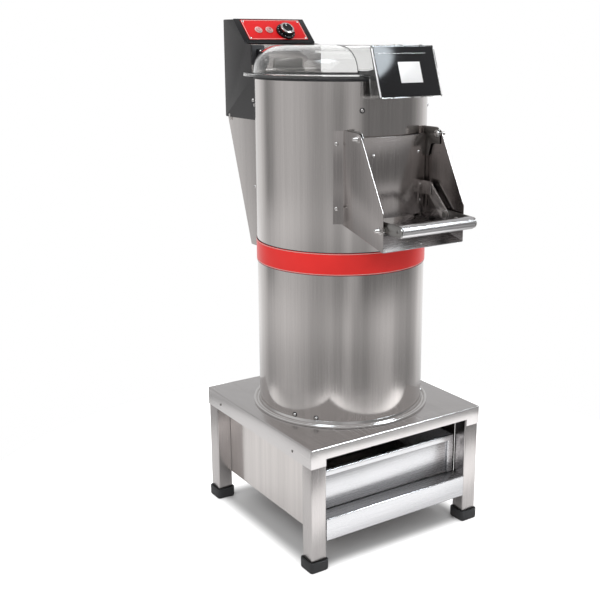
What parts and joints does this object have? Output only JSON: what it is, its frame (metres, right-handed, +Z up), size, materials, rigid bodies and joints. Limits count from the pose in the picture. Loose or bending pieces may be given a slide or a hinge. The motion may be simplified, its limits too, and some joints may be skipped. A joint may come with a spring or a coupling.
{
  "type": "electric potato peeler",
  "caption": "Electric potato peeler on a square stand: steel drum with abrasive disc, clear hinged lid, lever-worked discharge door with chute, filter drawer, control box with timer.",
  "frame": {"origin": "on the drum's axis at the floor, under the middle of the square stand", "axes": "+Z up along the drum's axis, -Y towards the discharge chute and the drawer's front, +X to the right of someone who faces the chute"},
  "size_m": [0.4964, 0.748, 1.217],
  "materials": {
    "brushed_stainless": "vertically brushed stainless sheet",
    "sheet_stainless": "satin stainless sheet and tube",
    "bright_steel": "smooth bright stainless",
    "cast_aluminium": "as-cast, machined bores",
    "abrasive_grit": "coarse dark abrasive grit in resin",
    "black_rubber": "matt moulded black rubber",
    "anthracite_paint": "fine-textured anthracite powder coat",
    "black_panel": "black, glossy",
    "red_film": "red film with thin pale border lines",
    "clear_plastic": "clear moulded plastic, glossy",
    "pale_plastic": "pale moulded plastic",
    "motor_paint": "dark grey-blue machine paint"
  },
  "bodies": {
    "root": {"base_ring": "bright_steel", "basin_floor": "sheet_stainless", "bearing_housing": "cast_aluminium", "box_front_wall": "brushed_stainless", "cable_gland": "black_rubber", "chamber_floor": "sheet_stainless", "chamber_liner": "abrasive_grit", "chute_floor": "sheet_stainless", "chute_left": "sheet_stainless", "chute_right": "sheet_stainless", "control_box": "anthracite_paint", "drain_pipe": "sheet_stainless", "drive_belt": "black_rubber", "drive_plate": "sheet_stainless", "foot_front_left": "black_rubber", "foot_front_right": "black_rubber", "foot_rear_left": "black_rubber", "foot_rear_right": "black_rubber", "front_rail": "sheet_stainless", "hinge_bracket": "bright_steel", "leg_front_left": "sheet_stainless", "leg_front_right": "sheet_stainless", "leg_rear_left": "sheet_stainless", "leg_rear_right": "sheet_stainless", "lid_switch": "black_panel", "lower_bearing": "bright_steel", "lower_body": "brushed_stainless", "motor": "motor_paint", "panel_face": "red_film", "panel_frame": "black_panel", "rear_cover": "brushed_stainless", "rear_panel": "brushed_stainless", "red_band": "red_film", "rim_gasket": "black_rubber", "side_panel_left": "brushed_stainless", "side_panel_right": "brushed_stainless", "table_top": "brushed_stainless", "upper_bearing": "bright_steel", "upper_body": "brushed_stainless", "waste_duct": "sheet_stainless", "water_pipe": "bright_steel"},
    "drawer": {"filter_drawer": "brushed_stainless", "drawer_screen": "bright_steel"},
    "spindle": {"drive_shaft": "bright_steel", "peeling_disc": "abrasive_grit", "shaft_pulley": "cast_aluminium"},
    "rotor": {"motor_rotor": "cast_aluminium"},
    "lid": {"lid": "clear_plastic", "lid_front_plate": "black_panel", "lid_hinge_leaf": "bright_steel"},
    "handle": {"handle_arm_left": "bright_steel", "handle_arm_right": "bright_steel", "handle_bar": "bright_steel"},
    "links": {"link_left": "bright_steel", "link_right": "bright_steel"},
    "door": {"door_panel": "sheet_stainless", "door_seal": "black_rubber"},
    "knob": {"timer_knob": "black_panel"},
    "start_plunger": {"start_button": "pale_plastic"},
    "stop_plunger": {"stop_button": "pale_plastic"}
  },
  "joints": [
    {"name": "drawer_slide", "type": "slide", "parent": "root", "child": "drawer", "axis": [0, -1, 0], "range_m": [0, 0.3]},
    {"name": "disc_spin", "type": "hinge", "parent": "root", "child": "spindle", "pos_m": [0, 0, 0.6], "axis": [0, 0, 1], "continuous": true},
    {"name": "motor_spin", "type": "hinge", "parent": "root", "child": "rotor", "pos_m": [0, 0.115, 0.6], "axis": [0, 0, 1], "continuous": true},
    {"name": "lid_hinge", "type": "hinge", "parent": "root", "child": "lid", "pos_m": [0, 0.232, 1.104], "axis": [-1, 0, 0], "range_deg": [0, 58]},
    {"name": "handle_hinge", "type": "hinge", "parent": "root", "child": "handle", "pos_m": [0, -0.304, 0.783], "axis": [-1, 0, 0], "range_deg": [0, 30]},
    {"name": "link_hinge", "type": "hinge", "parent": "handle", "child": "links", "pos_m": [0, -0.268, 0.79], "axis": [1, 0, 0], "range_deg": [0, 57]},
    {"name": "door_hinge", "type": "hinge", "parent": "root", "child": "door", "pos_m": [0, -0.224, 0.965], "axis": [-1, 0, 0], "range_deg": [0, 15.5]},
    {"name": "timer_turn", "type": "hinge", "parent": "root", "child": "knob", "pos_m": [0.028, 0.29171, 1.18342], "axis": [0, -0.6997, 0.7145], "range_deg": [-300, 0]},
    {"name": "start_press", "type": "slide", "parent": "root", "child": "start_plunger", "axis": [0, 0.6997, -0.7145], "range_m": [0, 0.0025], "stiffness_N_per_m": 400, "springref_m": -0.0008},
    {"name": "stop_press", "type": "slide", "parent": "root", "child": "stop_plunger", "axis": [0, 0.6997, -0.7145], "range_m": [0, 0.0025], "stiffness_N_per_m": 400, "springref_m": -0.0008}
  ],
  "couplings": [
    {"joint": "motor_spin", "follows": "disc_spin", "ratio": 3.1667},
    {"joint": "door_hinge", "follows": "handle_hinge", "ratio": 0.511},
    {"joint": "link_hinge", "follows": "handle_hinge", "ratio": 1.89}
  ]
}
